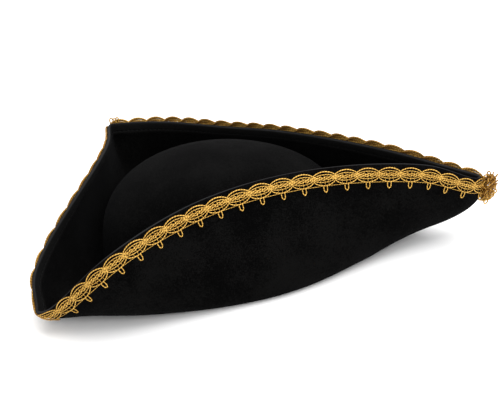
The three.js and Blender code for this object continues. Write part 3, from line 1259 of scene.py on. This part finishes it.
@dataclass
class FrontGather:
    """The bunched braid at the front corner: a wound heart with short loops that stand out all round.

    Args:
        node: The solid in whose room it lies.
        heart: The heart's size, as a share of the solid's.
        turns: How many turns are wound round it.
        turn_points: How many points a turn has.
        flattest: How thin the winding gets at its ends, squared.
        squat: How much lower than round the heart is.
        winding_radius: Half the winding's thickness in millimetres.
        winding_lit_share: Its share of the painted light, kept low to paint shade on the heart.
        loops: How many loops stand out.
        loop_width: A loop's width in millimetres.
        loop_radius: Half its thickness in millimetres.
        loop_points: How many points it has.
        rooted: How deep in the heart it starts, as a share of the solid's size.
        reach: How far out the loops end, as shares of the solid's size.
        steep: How upright a loop's direction may be before another one is taken to be across it.
        shorter: The gather's height, as a share of the solid's.
        raised: How many millimetres higher than the solid it sits.
        lean: How far forwards it leans for its height.
        seed: The start of the loops' random lengths and turns.
    """

    node: str = "front_gather"
    heart: float = 0.62
    turns: int = 12
    turn_points: int = 18
    flattest: float = 0.03
    squat: float = 0.85
    winding_radius: float = 0.7
    winding_lit_share: float = 0.2
    loops: int = 54
    loop_width: float = 4.0
    loop_radius: float = 0.56
    loop_points: int = 14
    rooted: float = 0.1
    reach: Range = (0.86, 1.12)
    steep: float = 0.9
    shorter: float = 0.8
    raised: float = 2.0
    lean: float = 0.22
    seed: int = 7

    def build(self, finish: bpy.types.Material) -> bpy.types.Object:
        """Lay the winding and the loops in the solid's room.

        Args:
            finish: The cords' material.

        Returns:
            The gather piece.
        """
        low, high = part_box(self.node)
        centre, half = (low + high) / 2, (high - low) / 2
        centre.z += self.raised * MM
        half.z *= self.shorter
        cords = Cords("front_gather_loops")
        winding = []
        steps = self.turns * self.turn_points
        for i in range(steps + 1):
            share = i / steps
            turn, rise = 2 * math.pi * self.turns * share, 2 * share - 1
            out = self.heart * math.sqrt(max(1 - rise * rise, self.flattest))
            way = Vector((out * math.cos(turn), out * math.sin(turn), self.squat * rise))
            winding.append((centre + way * half, way.normalized()))
        # The winding takes little painted light, as painted shade in the gather's heart.
        cords.lay(self.leant(winding, centre), self.winding_radius, lit_share=self.winding_lit_share)
        rng = np.random.default_rng(self.seed)
        golden = math.pi * (3 - math.sqrt(5))
        for k in range(self.loops):
            rise = 1 - 2 * (k + 0.5) / self.loops
            flat, turn = math.sqrt(1 - rise * rise), golden * k
            way = Vector((flat * math.cos(turn), flat * math.sin(turn), rise))
            self.lay_loop(cords, centre, half, way, rng.uniform(*self.reach), rng.uniform(0, math.pi))
        return cords.build(finish)

    def leant(self, line: list[Spot], centre: Vector) -> list[Spot]:
        """Lean a line's points forwards above the gather's middle and backwards below it."""
        return [(point + Vector((self.lean * (point.z - centre.z), 0, 0)), out) for point, out in line]

    def lay_loop(
        self, cords: Cords, centre: Vector, half: Vector, way: Vector, reach: float, roll: float
    ) -> None:
        """Lay one short loop from the winding outwards.

        Args:
            cords: Where the cord goes.
            centre: The gather's middle.
            half: Half the solid's sizes.
            way: The loop's direction.
            reach: How far its end is, as a share of half the solid's sizes.
            roll: How far it is turned about its own length.
        """
        root, tip = centre + way * half * (self.heart - self.rooted), centre + way * half * reach
        ahead = tip - root
        aside = Vector((0, 0, 1)) if abs(way.z) < self.steep else Vector((1, 0, 0))
        across = ahead.cross(aside).normalized()
        across.rotate(Matrix.Rotation(roll, 3, ahead.normalized()))
        face = ahead.cross(across).normalized()
        loop = []
        for i in range(self.loop_points):
            turn = 2 * math.pi * i / self.loop_points
            far = 0.5 - 0.5 * math.cos(turn)
            wide = self.loop_width / 2 * MM * math.sin(turn) * (0.6 + 0.6 * far)
            loop.append((root + ahead * far + across * wide, face))
        cords.lay(self.leant(loop, centre), self.loop_radius, closed=True)


@dataclass(frozen=True)
class SoftLight:
    """A square soft light.

    Args:
        name: Its name.
        at: Where it hangs.
        towards: The point that it faces.
        size: Its side in metres.
        power: Its power in watts.
    """

    name: str
    at: Place
    towards: Place
    size: float
    power: float

    def hang(self) -> None:
        """Hang it in the scene."""
        light = bpy.data.lights.new(self.name, "AREA")
        light.size = self.size
        light.energy = self.power
        made = bpy.data.objects.new(self.name, light)
        made.location = self.at
        made.rotation_euler = (Vector(self.towards) - Vector(self.at)).to_track_quat("-Z", "Y").to_euler()
        bpy.context.scene.collection.objects.link(made)


@dataclass
class Studio:
    """The white floor, the soft lights and the camera at the photo's angle.

    Args:
        lights: The soft lights.
        surround: The colour all round.
        surround_strength: How bright that is.
        floor_size: Half the floor's side.
        floor_cells: How many cells it has each way.
        camera_at: Where the camera stands.
        look_at: The point that it looks at.
        camera_right: The way to its right.
        sensor: The width of its sensor in millimetres.
        focal_pixels: Its focal length in the photo's pixels.
        image: The photo's size in pixels.
        look_pixel: Where in the photo the point that it looks at lies.
    """

    lights: tuple[SoftLight, ...] = (
        SoftLight("overhead", (0.25, 0.6, 1.45), (0.0, 0.05, 0.0), 2.2, 42.0),
        SoftLight("front_fill", (0.6, -1.6, 1.3), (0.0, 0.0, 0.05), 1.2, 12.0),
    )
    surround: Colour = (1.0, 1.0, 1.0)
    surround_strength: float = 0.85
    floor_size: float = 4.0
    floor_cells: int = 8
    camera_at: Place = (0.06867, -0.74706, 0.4662)
    look_at: Place = (-0.04093, 0.00934, -0.0091)
    camera_right: Place = (0.9919, 0.0837, -0.0955)
    sensor: float = 36.0
    focal_pixels: float = 1049.4
    image: tuple[int, int] = (500, 413)
    look_pixel: tuple[float, float] = (228.2, 251.7)

    def build(self) -> None:
        """Make the floor, the lights, the surroundings and the camera."""
        self.lay_floor()
        for light in self.lights:
            light.hang()
        world = bpy.data.worlds.new("studio")
        bpy.context.scene.world = world
        world.use_nodes = True
        inputs = world.node_tree.nodes["Background"].inputs
        inputs["Color"].default_value = (*self.surround, 1.0)
        inputs["Strength"].default_value = self.surround_strength
        bpy.context.scene.view_settings.view_transform = "Standard"
        self.set_camera()

    def lay_floor(self) -> None:
        """Lay the floor that the hat rests on."""
        bm = bmesh.new()
        cells = self.floor_cells
        bmesh.ops.create_grid(bm, x_segments=cells, y_segments=cells, size=self.floor_size)
        mesh = bpy.data.meshes.new("floor")
        bm.to_mesh(mesh)
        bm.free()
        object_of("floor", mesh, [FloorFinish().build()])

    def set_camera(self) -> None:
        """Set the camera, whose slight roll and shift give the photo's framing."""
        camera = bpy.data.cameras.new("camera")
        camera.sensor_width = self.sensor
        camera.lens = self.focal_pixels / self.image[0] * camera.sensor_width
        camera.shift_x = (self.image[0] / 2 - self.look_pixel[0]) / self.image[0]
        camera.shift_y = (self.look_pixel[1] - self.image[1] / 2) / self.image[0]
        made = bpy.data.objects.new("camera", camera)
        back = (Vector(self.camera_at) - Vector(self.look_at)).normalized()
        right = Vector(self.camera_right)
        right = (right - back * right.dot(back)).normalized()
        up = back.cross(right)
        turned = Matrix((right, up, back)).transposed().to_4x4()
        made.matrix_world = Matrix.Translation(self.camera_at) @ turned
        bpy.context.scene.collection.objects.link(made)
        bpy.context.scene.camera = made


def keep(piece: bpy.types.Object, slot: str, *nodes: str) -> None:
    """Let a piece stand for its solids and ride on the hat, and report it.

    Args:
        piece: The finished piece.
        slot: Its material slot; not used.
        nodes: The solids that it stands for.
    """
    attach(piece, "root")
    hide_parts(*nodes)
    piece.data.calc_loop_triangles()
    LOG.info("%s: %d triangles", piece.name, len(piece.data.loop_triangles))


def main() -> None:
    """Build the felt, the braids, the gather and the studio in order."""
    logging.basicConfig(level=logging.INFO, format="%(message)s")
    felt = FeltShell()
    keep(felt.build(), "felt", felt.node)
    edge = EdgeMap(felt.piece)
    edge.mark_felt()
    tips = {corner.name: round(along / MM, 1) for corner, along in edge.corners.items()}
    LOG.info("edge %.1f mm, corners %s", edge.total / MM, tips)
    gold = GoldFinish().build()
    right, left = edge.corners[Corner.RIGHT], edge.corners[Corner.LEFT]
    joint = 0.5 * MM
    near_drops = (0.6, 2.2, 2.3, 1.6, 0.6, -1.0)
    rear_drops = (-1.0, -1.2, -1.2)
    far_drops = (-3.4, -5.2, -5.4, -5.4, -3.0)
    braids = (
        GimpBraid(Flap.RIGHT, 2 * joint, right - joint, near_drops, 23, bunch=1.0),
        FilledBraid(Flap.REAR, right + joint, left - joint, rear_drops, 12),
        FilledBraid(Flap.LEFT, left + joint, edge.total - 2 * joint, far_drops, 21, tufts=3),
    )
    for braid in braids:
        keep(braid.build(edge, gold), "gold_braid", braid.flap.value)
    gather = FrontGather()
    keep(gather.build(gold), "gold_braid", gather.node)
    Studio().build()


if __name__ == "__main__":
    main()
